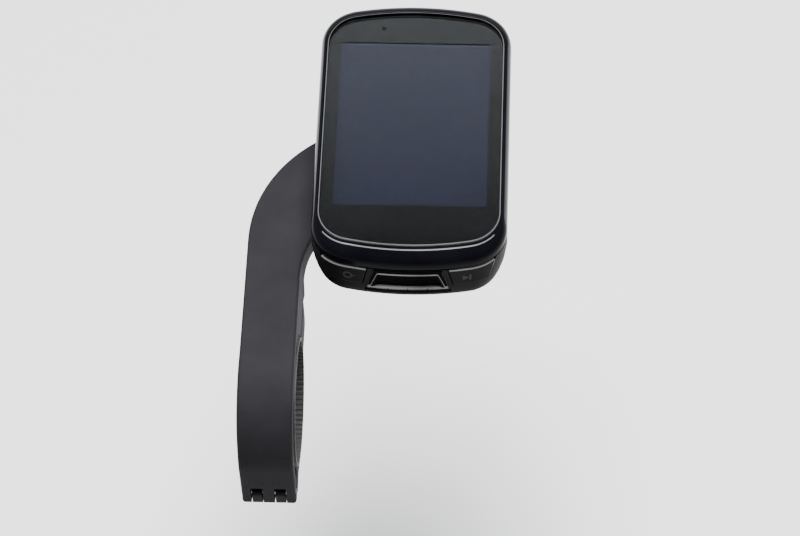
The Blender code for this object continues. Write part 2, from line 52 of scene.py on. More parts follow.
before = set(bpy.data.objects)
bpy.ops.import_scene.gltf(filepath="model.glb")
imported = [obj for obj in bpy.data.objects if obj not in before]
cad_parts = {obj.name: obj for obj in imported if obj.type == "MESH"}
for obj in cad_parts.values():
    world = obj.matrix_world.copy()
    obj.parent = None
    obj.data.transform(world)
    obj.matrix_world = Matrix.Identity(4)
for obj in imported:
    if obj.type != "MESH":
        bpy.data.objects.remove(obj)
cad_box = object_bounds()


def span(node):
    """Lowest and highest corners of a CAD node, in millimetres."""
    low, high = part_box(node)
    return low / MM, high / MM


# ---------------------------------------------------------------- sizes read from the frame
rear_low, rear_high = span("rear_housing")
glass_low, glass_high = span("cover_glass")
sensor_low, sensor_high = span("light_sensor")
pad_low, pad_high = span("bar_pad")
pin_low, pin_high = span("hinge_pin")
bolt_low, bolt_high = span("clamp_bolt")
power_low, power_high = span("power_button")

CASE_X = (rear_low.x + rear_high.x) / 2
CASE_Y = (rear_low.y + rear_high.y) / 2
HALF_W = (rear_high.x - rear_low.x) / 2
HALF_L = (rear_high.y - rear_low.y) / 2
GLASS_SIDE = glass_low.x - rear_low.x
GLASS_END = glass_low.y - rear_low.y
TAIL_Z = span("mount_arm")[0].z
BOLT_Y = (bolt_low.y + bolt_high.y) / 2
PIN_Y = (pin_low.y + pin_high.y) / 2
PIN_Z = (pin_low.z + pin_high.z) / 2
POWER_Y = (power_low.y + power_high.y) / 2
POWER_Z = (power_low.z + power_high.z) / 2

# ---------------------------------------------------------------- sizes repeated from the design
CORNER_R = 11.0              # case corners
END_R = 84.0                 # slight arch of both ends
REAR_Z = 26.0                # flat rear face
WALL = 1.2                   # case wall
BAND_W = 14.2                # clamp band and arm
BAND_R = 21.0                # outside of the band
SEAT_R = 17.1                # inside of the band
PAD_R = 16.8                 # outside of the rubber strip
BAR_R = 15.9                 # handlebar
HEAD_X = CASE_X              # axis of the quarter turn
HEAD_Y = 57.6
HEAD_R = 16.9
HEAD_TOP = 25.6
ARM_TOP = 21.0               # thin arm, upper and lower face
ARM_UNDER = 14.0
SWEEP_R = 38.0               # bends of the arm seen from above, outside and inside
INSIDE_R = 26.0
INSIDE_Y = 25.6
PAST_TAIL = -30.0            # the arm's outlines run past both of its ends
PAST_HEAD = 90.0
SPLIT_Z = 3.7                # where the band and the bolt block end above the jaw
FRONT_Y = 30.0               # front of the bolt block
FINGER_X = (-3.05, 3.05)     # hinge fingers of the jaw, and the notches that hold them
FINGER_W = 2.6
NOTCH_W = 3.2
NOTCH_TOP = -9.0
BOSS_R = 12.5                # twist lock under the case
TAB_R = 15.0
TAB_Z = (22.4, 23.8)
SCREW_X = 18.2               # case screws, from the middle of the case
SCREW_Y = 32.6
BUTTON_IN = (11.6, 10.4)     # inner end of a button at the bottom and at the top
BUTTON_OUT = (20.6, 22.0)
BUTTON_Z = (30.6, 36.2)
SYMBOL_X = 15.2              # middle of a button's symbol
SYMBOL_Z = 33.2
SYMBOL_DEPTH = (-0.46, -0.3)  # its outer and inner face, from the case wall
PORT_X = (8.6, 10.9)         # half-width of the port cover at the top and at the bottom
PORT_Z = (28.0, 36.0)
SCREEN_W = 39.3
SCREEN_H = 51.4
SCREEN_Y = 60.3
RIM_HIGHLIGHT_Z = (41.7, 41.78)   # painted highlight: bright line round the lower end of the rim
RIM_HIGHLIGHT_REACH = 9.0
FLOOR_DROP = 130.0           # the handlebar, left out, holds the mount above the floor

# (height, inset of the long sides, inset of the ends)
REAR_SECTION = ((26.0, 3.8, 1.6), (26.0, 3.4, 1.2), (26.06, 2.95, 0.78), (26.25, 2.5, 0.45),
                (26.55, 2.1, 0.18), (26.9, 1.8, 0.05), (28.2, 1.2, 0.0), (30.0, 0.5, 0.25),
                (33.0, 0.0, 0.65), (36.2, 0.0, 0.98), (36.38, 0.05, 1.03), (36.45, 0.18, 1.16))
FRONT_SECTION = ((36.75, 0.18, 1.18), (36.82, 0.05, 1.06), (37.0, 0.0, 1.0), (38.3, 0.05, 1.05),
                 (39.0, 0.13, 1.12), (39.6, 0.25, 1.34), (40.3, 0.45, 1.82), (40.9, 0.65, 2.4),
                 (41.5, 0.9, 3.35), (41.62, 0.95, 3.6), (41.7, 1.0, 3.78), (41.78, 1.16, 4.14),
                 (42.08, 1.46, 4.5), (42.16, 1.52, 4.6), (42.18, 1.58, 4.66))
SEAM = (REAR_SECTION[-1][0] + FRONT_SECTION[0][0]) / 2


# ---------------------------------------------------------------- mesh tools
def from_faces(name, points, faces):
    bm = bmesh.new()
    verts = [bm.verts.new(p) for p in points]
    for face in faces:
        bm.faces.new([verts[i] for i in face])
    bmesh.ops.recalc_face_normals(bm, faces=bm.faces)
    mesh = bpy.data.meshes.new(name)
    bm.to_mesh(mesh)
    bm.free()
    obj = bpy.data.objects.new(name, mesh)
    bpy.context.scene.collection.objects.link(obj)
    return obj


def skin(name, loops, wrap=False):
    """Join loops of equally many points; the ends are capped, or joined to each other."""
    count = len(loops[0])
    points = [p for loop in loops for p in loop]
    pairs = [(k, k + 1) for k in range(len(loops) - 1)]
    faces = []
    if wrap:
        pairs.append((len(loops) - 1, 0))
    else:
        last = (len(loops) - 1) * count
        faces += [tuple(range(count)), tuple(range(last, last + count))]
    for low, high in pairs:
        for i in range(count):
            j = (i + 1) % count
            faces.append((low * count + i, low * count + j, high * count + j, high * count + i))
    return from_faces(name, points, faces)


def prism(name, outline, axis, low, high):
    """Extrude an outline along an axis; the outline holds the other two axes in X, Y, Z order."""
    place = {"X": lambda u, v, w: (w, u, v), "Y": lambda u, v, w: (u, w, v),
             "Z": lambda u, v, w: (u, v, w)}[axis]
    return skin(name, [[place(u, v, w) for u, v in outline] for w in (low, high)])


def rectangle(low, high):
    return [(low[0], low[1]), (high[0], low[1]), (high[0], high[1]), (low[0], high[1])]


def block(name, low, high):
    return prism(name, rectangle(low, high), "Z", low[2], high[2])


def turned(name, profile, centre, axis="Z", steps=64, wrap=False, flutes=0, depth=0.0):
    """Turn (radius, height) pairs about an axis; flutes roll the radius in and out by depth."""
    loops = []
    for radius, height in profile:
        loop = []
        for k in range(steps):
            turn = 2 * pi * k / steps
            r = radius - depth * (0.5 + 0.5 * cos(flutes * turn)) if flutes else radius
            u, v = r * cos(turn), r * sin(turn)
            offset = {"X": (height, u, v), "Y": (u, height, v), "Z": (u, v, height)}[axis]
            loop.append(tuple(c + d for c, d in zip(centre, offset)))
        loops.append(loop)
    return skin(name, loops, wrap)


def rod(name, radius, low, high, centre, axis="Z", steps=48):
    return turned(name, ((radius, low), (radius, high)), centre, axis, steps)


def arc(centre, radius, start, stop, steps):
    """Points of an arc, both ends included; angles in degrees."""
    angles = [radians(start + (stop - start) * k / steps) for k in range(steps + 1)]
    return [(centre[0] + radius * cos(a), centre[1] + radius * sin(a)) for a in angles]


def apply_modifiers(obj):
    graph = bpy.context.evaluated_depsgraph_get()
    mesh = bpy.data.meshes.new_from_object(obj.evaluated_get(graph), depsgraph=graph)
    obj.modifiers.clear()
    obj.data = mesh
    return obj


def combine(target, tool, operation="DIFFERENCE"):
    """Cut a tool out of the target, or join it on, and remove the tool."""
    boolean = target.modifiers.new("boolean", "BOOLEAN")
    boolean.operation = operation
    boolean.object = tool
    apply_modifiers(target)
    bpy.data.objects.remove(tool)
    return target


def flat_faces(obj):
    """Split every face into triangles: bending twists a tool's faces, and cuts need flat ones."""
    bm = bmesh.new()
    bm.from_mesh(obj.data)
    bmesh.ops.triangulate(bm, faces=bm.faces[:])
    bm.to_mesh(obj.data)
    bm.free()
    return obj


def round_edges(obj, width, segments=3, angle=35):
    bevel = obj.modifiers.new("bevel", "BEVEL")
    bevel.width = width
    bevel.segments = segments
    bevel.limit_method = "ANGLE"
    bevel.angle_limit = radians(angle)
    bevel.use_clamp_overlap = False
    return apply_modifiers(obj)


def paint_highlight_faces(obj, material, test):
    """Give a second material, a painted highlight, to the faces whose centre, in millimetres, and
    normal pass a test.
    """
    obj.data.materials.append(material)
    for face in obj.data.polygons:
        if test(face.center / MM, face.normal):
            face.material_index = 1


def piece(obj, body, slot, material, *nodes, angle=40):
    """Turn a finished shape into metres and let it ride on its body in place of CAD nodes."""
    obj.data.transform(Matrix.Scale(MM, 4))
    obj.data.shade_smooth()
    obj.data.set_sharp_from_angle(angle=radians(angle))
    shading = obj.modifiers.new("even_shading", "WEIGHTED_NORMAL")
    shading.keep_sharp = True
    apply_modifiers(obj)
    obj.data.materials.clear()
    obj.data.materials.append(material)
    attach(obj, body)
    if nodes:
        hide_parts(*nodes)
    return obj


# ---------------------------------------------------------------- case outline
def outline_shape(side, end):
    """Half-width, half-length, corner and end radii of the outline at a pair of insets."""
    return HALF_W - side, HALF_L - end, CORNER_R - side, END_R - end


def corner_middle(a, b, corner, arch):
    """Y of a corner's centre, where the corner runs smoothly into the arch of the end."""
    return b - arch + sqrt((arch - corner) ** 2 - (a - corner) ** 2)


def case_loop(z, side, end, corner_steps=18, end_steps=20):
    """Closed loop of points: straight sides, arched ends and round corners."""
    a, b, corner, arch = outline_shape(side, end)
    corner_y = corner_middle(a, b, corner, arch)
    turn = degrees(atan2(corner_y - (b - arch), a - corner))
    quarter = arc((a - corner, corner_y), corner, 0, turn, corner_steps)
    quarter += arc((0, b - arch), arch, turn, 90, end_steps)[1:]
    half = quarter + [(-x, y) for x, y in reversed(quarter[:-1])]
    loop = half + [(x, -y) for x, y in reversed(half)]
    return [(CASE_X + x, CASE_Y + y, z) for x, y in loop]


def end_insets(z):
    """Insets of the sides and the ends at height z, between the levels of the two tables."""
    table = REAR_SECTION + FRONT_SECTION
    for low, high in zip(table, table[1:]):
        if low[0] <= z <= high[0]:
            t = (z - low[0]) / (high[0] - low[0])
            return low[1] + t * (high[1] - low[1]), low[2] + t * (high[2] - low[2])
    return table[-1][1:]


def end_wall(x, z, depth):
    """Point of the lower end wall at x from the middle, moved inwards by depth."""
    a, b, corner, arch = outline_shape(*end_insets(z))
    corner_y = corner_middle(a, b, corner, arch)
    change = (a - corner) * arch / (arch - corner)
    if abs(x) <= change:
        lean = asin(x / arch)
        y = -(b - arch) - arch * cos(lean)
    else:
        side = a - corner if x > 0 else corner - a
        lean = asin(max(-1.0, min(1.0, (x - side) / corner)))
        y = -corner_y - corner * cos(lean)
    return CASE_X + x - depth * sin(lean), CASE_Y + y + depth * cos(lean), z


def bend_on_wall(obj, step=0.6):
    """Bend a plate drawn flat, as (x, depth, z), on to the lower end wall."""
    bm = bmesh.new()
    bm.from_mesh(obj.data)
    for axis in (0, 2):
        values = [v.co[axis] for v in bm.verts]
        normal = [0.0, 0.0, 0.0]
        normal[axis] = 1.0
        for k in range(floor(min(values) / step), floor(max(values) / step) + 1):
            place = [0.0, 0.0, 0.0]
            place[axis] = (k + 0.5) * step
            geometry = bm.verts[:] + bm.edges[:] + bm.faces[:]
            bmesh.ops.bisect_plane(bm, geom=geometry, dist=1e-4, plane_co=place, plane_no=normal)
    for v in bm.verts:
        v.co = end_wall(v.co.x, v.co.z, v.co.y)
    bm.to_mesh(obj.data)
    bm.free()
    return obj


def on_slope(ends, z):
    """Place at height z on the sloping end of a button."""
    low, high = BUTTON_Z
    return ends[0] + (ends[1] - ends[0]) * (z - low) / (high - low)


def trapezoid(near, far, z_low, z_high, corner=0.0):
    """Outline in x and z; near and far hold the ends at the bottom and at the top."""
    points = [(near[0], z_low), (far[0], z_low), (far[1], z_high), (near[1], z_high)]
    return rounded(points, corner) if corner else points


def rounded(points, radius, steps=4):
    """Cut each corner of an outline back and bridge it with a smooth curve."""
    result = []
    for k, point in enumerate(points):
        here = Vector(point)
        before = (Vector(points[k - 1]) - here).normalized() * radius
        after = (Vector(points[(k + 1) % len(points)]) - here).normalized() * radius
        for i in range(steps + 1):
            t = i / steps
            bend = here + before * (1 - t) ** 2 + after * t ** 2
            result.append((bend.x, bend.y))
    return result


def stadium(middle_u, middle_v, length, height):
    """Outline with two straight sides and two round ends."""
    r = height / 2
    reach = length / 2 - r
    return (arc((middle_u - reach, middle_v), r, 90, 270, 16)
            + arc((middle_u + reach, middle_v), r, -90, 90, 16))


def port_outline(low_inset, high_inset, z_low, z_high, corner):
    """Outline of the port cover, drawn in at its bottom and its top corners."""
    ends = (PORT_X[1] - low_inset, PORT_X[0] - high_inset)
    return trapezoid((-ends[0], -ends[1]), ends, z_low, z_high, corner)


# ---------------------------------------------------------------- procedural materials
def new_material(name):
    material = bpy.data.materials.new(name)
    material.use_nodes = True
    return material, material.node_tree.nodes, material.node_tree.links


def noise(nodes, links, size, detail=3.0, stretch=(1, 1, 1)):
    """Noise in the piece's own space, with features about size millimetres across."""
    place = nodes.new("ShaderNodeTexCoord")
    mapping = nodes.new("ShaderNodeMapping")
    mapping.inputs["Scale"].default_value = [s / (size * MM) for s in stretch]
    links.new(place.outputs["Object"], mapping.inputs["Vector"])
    texture = nodes.new("ShaderNodeTexNoise")
    texture.inputs["Scale"].default_value = 1.0
    texture.inputs["Detail"].default_value = detail
    links.new(mapping.outputs["Vector"], texture.inputs["Vector"])
    return texture.outputs["Fac"]


def spread(nodes, links, source, low, high, to_low, to_high):
    """Map a value from one range to another, clamped at both ends."""
    node = nodes.new("ShaderNodeMapRange")
    node.inputs["From Min"].default_value = low
    node.inputs["From Max"].default_value = high
    node.inputs["To Min"].default_value = to_low
    node.inputs["To Max"].default_value = to_high
    links.new(source, node.inputs["Value"])
    return node.outputs["Result"]


def blend_colours(nodes, links, factor, first, second):
    node = nodes.new("ShaderNodeMix")
    node.data_type = "RGBA"
    node.inputs["A"].default_value = (*first, 1.0)
    node.inputs["B"].default_value = (*second, 1.0)
    links.new(factor, node.inputs["Factor"])
    return node.outputs["Result"]


def set_sockets(shader, **values):
    """Set a shader's own sockets; an underscore stands for the space in a socket's name."""
    for socket, value in values.items():
        shader.inputs[socket.replace("_", " ")].default_value = value


def bump(nodes, links, layers):
    """Chain of bump layers, each a height source and its depth in millimetres."""
    normal = None
    for height, depth in layers:
        node = nodes.new("ShaderNodeBump")
        node.inputs["Distance"].default_value = depth * MM
        links.new(height, node.inputs["Height"])
        if normal:
            links.new(normal, node.inputs["Normal"])
        normal = node.outputs["Normal"]
    return normal


def surface(name, colour, roughness, grain=0.4, depth=0.02, change=0.25, spread_by=0.06,
            metallic=0.0, stretch=(1, 1, 1), **constants):
    """Moulded, ground or painted surface with a fine grain, cloudy colour and uneven gloss."""
    material, nodes, links = new_material(name)
    shader = nodes["Principled BSDF"]
    clouds = noise(nodes, links, 9.0, 4.0)
    fine = noise(nodes, links, grain, 3.0, stretch)
    light = tuple(min(1.0, c * (1 + change)) for c in colour)
    dark = tuple(c * (1 - change) for c in colour)
    factor = spread(nodes, links, clouds, 0.3, 0.7, 0.0, 1.0)
    links.new(blend_colours(nodes, links, factor, dark, light), shader.inputs["Base Color"])
    gloss = spread(nodes, links, fine, 0.25, 0.75, roughness - spread_by, roughness + spread_by)
    links.new(gloss, shader.inputs["Roughness"])
    links.new(bump(nodes, links, [(clouds, depth * 0.25), (fine, depth)]), shader.inputs["Normal"])
    set_sockets(shader, Metallic=metallic, **constants)
    return material


# shine of the glass, held by the two layers under it
STACK_COAT = {"Coat_Weight": 1.0, "Coat_Roughness": 0.02, "Coat_IOR": 1.65}


def clear_glass():
    """Clear slab of low index; the coats of the print and the display under it hold its shine."""
    material, nodes, links = new_material("clear_cover_glass")
    shader = nodes["Principled BSDF"]
    set_sockets(shader, Base_Color=(0.9, 0.92, 0.93, 1.0), Transmission_Weight=1.0, IOR=1.03)
    smears = noise(nodes, links, 14.0, 5.0)
    gloss = spread(nodes, links, smears, 0.45, 0.75, 0.004, 0.014)
    links.new(gloss, shader.inputs["Roughness"])
    return material


def display_surface():
    """Switched-off colour display: dark blue-grey, a little lighter at its upper edge."""
    material, nodes, links = new_material("switched_off_display")
    shader = nodes["Principled BSDF"]
    place = nodes.new("ShaderNodeTexCoord")
    axes = nodes.new("ShaderNodeSeparateXYZ")
    links.new(place.outputs["Object"], axes.inputs["Vector"])
    top = SCREEN_Y + SCREEN_H / 2
    edge = spread(nodes, links, axes.outputs["Y"], (top - 1.2) * MM, (top - 0.6) * MM, 0.0, 1.0)
    colour = blend_colours(nodes, links, edge, (0.0044, 0.0049, 0.0092), (0.0075, 0.0082, 0.0128))
    links.new(colour, shader.inputs["Base Color"])
    cells = noise(nodes, links, 0.18, 2.0)
    links.new(spread(nodes, links, cells, 0.3, 0.7, 0.28, 0.4), shader.inputs["Roughness"])
    set_sockets(shader, Specular_IOR_Level=0.0, **STACK_COAT)
    return material


def make_materials():
    steel = {"metallic": 1.0, "change": 0.08, "depth": 0.004}
    return {
        "mount": surface("moulded_black_nylon", (0.0165, 0.016, 0.0185), 0.62, grain=0.45,
                         depth=0.06, change=0.1, Specular_IOR_Level=0.03),
        "case": surface("satin_black_case", (0.004, 0.004, 0.0045), 0.45, grain=0.3,
                        depth=0.012, Specular_IOR_Level=0.05),
        "gloss": surface("polished_black_rim", (0.003, 0.003, 0.0045), 0.14, grain=3.0,
                         depth=0.003, spread_by=0.03, Specular_IOR_Level=0.2, IOR=1.14),
        "print": surface("black_border_print", (0.002, 0.002, 0.002), 0.8, grain=0.6,
                         depth=0.0, Specular_IOR_Level=0.0, **STACK_COAT),
        "glass": clear_glass(),
        "display": display_surface(),
        "button": surface("grey_black_button", (0.005, 0.005, 0.005), 0.48, grain=0.3,
                          depth=0.02, Specular_IOR_Level=0.04),
        "cover": surface("soft_black_flap", (0.005, 0.005, 0.005), 0.6, grain=0.35,
                         depth=0.012, Specular_IOR_Level=0.02, IOR=1.2),
        "rubber": surface("black_rubber", (0.022, 0.022, 0.022), 0.7, grain=0.35, depth=0.02),
        "steel": surface("ground_steel", (0.62, 0.62, 0.63), 0.28, grain=0.3,
                         stretch=(0.1, 1, 1), **steel),
        "bolt": surface("black_oxide_steel", (0.08, 0.08, 0.085), 0.4, grain=0.3, **steel),
        "brass": surface("turned_brass", (0.72, 0.52, 0.22), 0.3, grain=0.25, **steel),
        "board": surface("solder_mask", (0.015, 0.1, 0.05), 0.4, grain=1.2, depth=0.03),
        "cell": surface("battery_foil", (0.35, 0.37, 0.4), 0.38, grain=2.5, depth=0.05),
        "ceramic": surface("fired_ceramic", (0.7, 0.66, 0.55), 0.5, grain=0.5, depth=0.01,
                           change=0.06),
        "film": surface("amber_film", (0.55, 0.28, 0.05), 0.3, grain=1.0, depth=0.005,
                        change=0.1),
        "tin": surface("tinned_sheet", (0.6, 0.61, 0.62), 0.35, grain=0.8, **steel),
        "white": surface("woven_membrane", (0.75, 0.75, 0.73), 0.7, grain=0.2, depth=0.02,
                         change=0.05),
        "ink": surface("grey_symbol_ink", (0.028, 0.028, 0.03), 0.6, grain=0.3, depth=0.002,
                       Specular_IOR_Level=0.1),
        # painted highlight: grey line along the glass's edge chamfer
        "glass_chamfer_highlight": surface("painted_highlight_glass_chamfer", (0.085, 0.088, 0.092), 0.4, grain=0.3,
                              depth=0.002, change=0.1, Specular_IOR_Level=0.3),
        # painted highlight: light grey line on the gloss rim at its lower end
        "edge": surface("painted_highlight_rim_line", (0.1, 0.1, 0.105), 0.35, grain=0.4, depth=0.004,
                        change=0.35, Specular_IOR_Level=0.3),
        # painted highlight: light grey for edge faces that catch the light from above
        "highlight_paint": surface("painted_highlight_plastic_edge", (0.115, 0.115, 0.115), 0.5, grain=0.4,
                          depth=0.01, change=0.3, Specular_IOR_Level=0.25),
        "sensor": surface("smoked_window", (0.005, 0.005, 0.0055), 0.3, grain=0.4,
                          depth=0.003, Specular_IOR_Level=0.1),
    }


# ---------------------------------------------------------------- mount
def arm_plan():
    """Outline of the arm and its head from above."""
    half = BAND_W / 2
    sweep_x = SWEEP_R - half
    sweep_y = HEAD_Y - sqrt((SWEEP_R - HEAD_R) ** 2 - (HEAD_X - sweep_x) ** 2)
    meet = degrees(atan2(HEAD_Y - sweep_y, HEAD_X - sweep_x))
    inside = (half + INSIDE_R, INSIDE_Y)
    reach = hypot(HEAD_X - inside[0], HEAD_Y - inside[1])
    bearing = degrees(atan2(HEAD_Y - inside[1], HEAD_X - inside[0]))
    opening = degrees(acos((INSIDE_R ** 2 + reach ** 2 - HEAD_R ** 2) / (2 * INSIDE_R * reach)))
    leave = bearing + opening
    start = arc(inside, INSIDE_R, leave, leave, 1)[0]
    head_stop = degrees(atan2(start[1] - HEAD_Y, start[0] - HEAD_X))
    points = [(half, PAST_TAIL)]
    points += arc(inside, INSIDE_R, 180, leave, 26)
    points += arc((HEAD_X, HEAD_Y), HEAD_R, head_stop, meet, 60)[1:]
    points += arc((sweep_x, sweep_y), SWEEP_R, meet, 180, 44)[1:]
    points.append((-half, PAST_TAIL))
    return points


def arm_section():
    """Side view of the arm: rear leg, clamp band, bolt block and thin arm."""
    bore_y = sqrt(SEAT_R ** 2 - SPLIT_Z ** 2)
    split = degrees(asin(SPLIT_Z / SEAT_R))
    points = [(-SEAT_R, TAIL_Z), (-BAND_R, TAIL_Z)]
    points += arc((0, 0), BAND_R, 180, 90, 30)
    points += [(PAST_HEAD, ARM_TOP), (PAST_HEAD, ARM_UNDER)]
    fillet = 7.0
    points += arc((FRONT_Y + fillet, ARM_UNDER - fillet), fillet, 90, 180, 12)
    points += [(FRONT_Y, SPLIT_Z), (bore_y, SPLIT_Z)]
    points += arc((0, 0), SEAT_R, split, 180, 48)[1:]
    return points


def sector(radius, middle, half_angle, steps=16):
    """Outline of a round sector about the head's axis."""
    centre = (HEAD_X, HEAD_Y)
    return [centre] + arc(centre, radius, middle - half_angle, middle + half_angle, steps)


def make_mount_arm(materials):
    arm = prism("arm", arm_plan(), "Z", -20.0, 30.0)
    combine(arm, prism("arm_side", arm_section(), "X", -20.0, 70.0), "INTERSECT")
    round_edges(arm, 0.85, segments=4, angle=40)
    head = (HEAD_X, HEAD_Y, 0)
    wall = HEAD_R - 0.3
    ring = ((wall - 0.9, ARM_UNDER + 0.7), (wall - 0.15, ARM_UNDER + 1.5), (wall, ARM_UNDER + 2.2),
            (wall, HEAD_TOP - 0.6), (wall - 0.15, HEAD_TOP - 0.18), (wall - 0.55, HEAD_TOP))
    combine(arm, turned("head_ring", ring, head, steps=96), "UNION")
    lip = BOSS_R + 0.35
    groove = TAB_R + 0.35
    socket = ((groove, 22.0), (groove, TAB_Z[1] + 0.3), (lip, TAB_Z[1] + 0.5),
              (lip, HEAD_TOP - 0.35), (lip + 0.4, HEAD_TOP + 0.05), (lip + 0.4, HEAD_TOP + 1.0))
    combine(arm, turned("socket", socket, head, steps=96))
    for middle in (180, 0):
        combine(arm, prism("tab_entry", sector(TAB_R + 0.2, middle, 26), "Z", 23.0, 28.0))
    under = ((13.4, 13.0), (13.4, 14.0), (13.0, 14.4), (13.0, 16.7), (12.4, 17.4), (10.0, 17.5))
    combine(arm, turned("head_under", under, head, steps=96))
    insert = ((3.5, SPLIT_Z - 1.0), (3.5, SPLIT_Z), (3.2, SPLIT_Z + 0.3), (3.2, 11.3), (2.4, 11.6),
              (2.4, 15.0))
    combine(arm, turned("insert_pocket", insert, (0, BOLT_Y, 0)))
    for x in FINGER_X:
        corners = rectangle((x - NOTCH_W / 2, -25.0), (x + NOTCH_W / 2, NOTCH_TOP))
        outline = rounded(corners, 0.35)
        combine(arm, prism("tail_notch", outline, "Y", -26.0, -14.0))
    half = BAND_W / 2
    hole = ((1.4, -8.0), (1.4, -half - 0.01), (1.1, -half + 0.3),
            (1.1, half - 0.3), (1.4, half + 0.01), (1.4, 8.0))
    combine(arm, turned("pin_hole", hole, (0, PIN_Y, PIN_Z), "X", 40))
    return piece(arm, "mount", "mount_plastic", materials["mount"], "mount_arm", angle=35)


def jaw_section():
    """Side view of the jaw: front lug, lower band and the web of the hinge fingers."""
    lug_top = SPLIT_Z - 0.5
    lug_low = -7.6
    start = degrees(asin(lug_top / SEAT_R))
    lug_end = degrees(asin(lug_low / BAND_R))
    points = [(sqrt(SEAT_R ** 2 - lug_top ** 2), lug_top), (FRONT_Y - 0.5, lug_top)]
    points += arc((FRONT_Y - 3.0, lug_low + 2.5), 2.5, 0, -90, 8)
    points += arc((0, 0), BAND_R, lug_end, -124, 40)
    points += [(-13.6, -18.4)]
    points += arc((-18.4, -15.9), 2.5, -90, -180, 8)
    points += [(-20.9, -12.6), (-20.0, -11.6), (-15.6, -11.6)]
    points += arc((0, 0), SEAT_R, -147, start, 48)[:-1]
    return points


def make_clamp_jaw(materials):
    half = BAND_W / 2
    jaw = prism("jaw", jaw_section(), "X", -half, half)
    round_edges(jaw, 0.6, segments=4, angle=40)
    way = ((5.2, -20.0), (5.2, -7.65), (4.9, -7.3), (4.9, -3.0), (3.0, -2.99), (3.0, 8.0))
    combine(jaw, turned("bolt_way", way, (0, BOLT_Y, 0)))
    combine(jaw, rod("finger_hole", 1.1, -10.0, 10.0, (0, PIN_Y, PIN_Z), "X", 40))
    edges = [-half - 2.0]
    for x in FINGER_X:
        edges += [x - FINGER_W / 2, x + FINGER_W / 2]
    edges.append(half + 2.0)
    for left, right in zip(edges[::2], edges[1::2]):
        combine(jaw, block("tail_land", (left, -24.0, -20.0), (right, -SEAT_R + 0.3, -8.0)))
    return piece(jaw, "jaw", "mount_plastic", materials["mount"], "clamp_jaw", angle=35)


def make_bar_pad(materials):
    """Split rubber strip with grip ribs along the handlebar."""
    half = (pad_high.x - pad_low.x) / 2
    start, stop, ribs = 22, 366, 72
    outside = arc((0, 0), PAD_R, start, stop, ribs * 2)
    inside = []
    for k in range(ribs * 4 + 1):
        turn = stop + (start - stop) * k / (ribs * 4)
        radius = BAR_R + (0.22 if k % 4 == 2 else 0.0)
        inside += arc((0, 0), radius, turn, turn, 1)[:1]
    strip = prism("rubber_strip", outside + inside, "X", -half, half)
    return piece(strip, "mount", "rubber", materials["rubber"], "bar_pad", angle=25)


def make_bolt(materials):
    """Socket screw with a knurled head and a threaded shank."""
    centre = (0, BOLT_Y, 0)
    top = bolt_low.z + 3.6
    head = ((3.1, top - 3.6), (3.4, top - 3.35), (3.5, top - 3.1), (3.5, top - 0.2), (3.35, top))
    screw = turned("socket_screw", head, centre, steps=144, flutes=36, depth=0.14)
    pitch = 0.7
    thread = [(2.0, top - 0.1), (2.0, top + 4.0)]
    for k in range(14):
        z = top + 4.0 + pitch * k
        thread += [(2.0, z + 0.1), (1.7, z + 0.45), (2.0, z + 0.69)]
    thread += [(1.4, bolt_high.z)]
    combine(screw, turned("shank", thread, centre, steps=40), "UNION")
    key = ((1.9, top - 4.0), (1.9, top - 3.6), (1.73, top - 3.4), (1.73, top - 1.5))
    combine(screw, turned("key", key, centre, steps=6))
    return piece(screw, "bolt", "dark_steel", materials["bolt"], "clamp_bolt", angle=30)


# ---------------------------------------------------------------- case
def case_shell():
    """Open shell: up its outside, over the rim and down its inside."""
    outside = [case_loop(*level) for level in REAR_SECTION]
    rim = REAR_SECTION[-1]
    inside = [case_loop(rim[0], WALL, 1.0 + WALL), case_loop(29.0, WALL + 0.9, 1.6),
              case_loop(27.6, WALL + 1.6, 2.2), case_loop(REAR_Z + WALL, 4.2, 3.4)]
    return skin("rear_case", outside + inside)


def add_twist_lock(case):
    head = (HEAD_X, HEAD_Y, 0)
    boss = ((BOSS_R - 0.9, 22.3), (BOSS_R - 0.55, 22.38), (BOSS_R - 0.1, 22.75), (BOSS_R, 23.0),
            (BOSS_R, 26.5))
    combine(case, turned("twist_boss", boss, head, steps=96), "UNION")
    for middle in (90, 270):
        combine(case, prism("twist_tab", sector(TAB_R, middle, 22), "Z", *TAB_Z), "UNION")


def cut_port(case):
    """Thicken the end wall behind the port cover, then sink the cover's seat and the socket."""
    port = prism("port_block", trapezoid((-12.0, -12.0), (12.0, 12.0), 27.0, 36.4), "Y", 0.6, 3.6)
    combine(case, flat_faces(bend_on_wall(port)), "UNION")
    seat = port_outline(-0.3, -0.1, PORT_Z[0] - 0.3, PORT_Z[1] + 0.3, 0.5)
    combine(case, flat_faces(bend_on_wall(prism("port_recess", seat, "Y", -3.0, 1.8))))
    socket = rounded(rectangle((CASE_X - 4.6, 31.6), (CASE_X + 4.6, 35.4)), 1.6, 6)
    combine(case, prism("socket_opening", socket, "Y", 17.0, 24.0))


def cut_screw_ways(case):
    way = ((2.25, 20.0), (2.25, 25.95), (1.95, 26.3), (1.95, 27.3), (1.15, 27.31), (1.15, 30.0))
    for sign in (-1, 1):
        for along in (-1, 1):
            spot = (CASE_X + sign * SCREW_X, CASE_Y + along * SCREW_Y, 0)
            combine(case, rod("screw_pad", 3.0, 26.6, 28.3, spot), "UNION")
            combine(case, turned("screw_way", way, spot))


def cut_button_openings(case):
    """Open the wall round each end button, up through the seam between the two housings."""
    levels = (BUTTON_Z[0] - 0.3, SEAM + 0.5)
    for sign in (-1, 1):
        near = tuple(sign * (on_slope(BUTTON_IN, z) - 0.3) for z in levels)
        far = tuple(sign * (on_slope(BUTTON_OUT, z) + 0.35) for z in levels)
        opening = prism("button_opening", trapezoid(near, far, *levels, 0.4), "Y", -3.0, 3.4)
        combine(case, flat_faces(bend_on_wall(opening)))


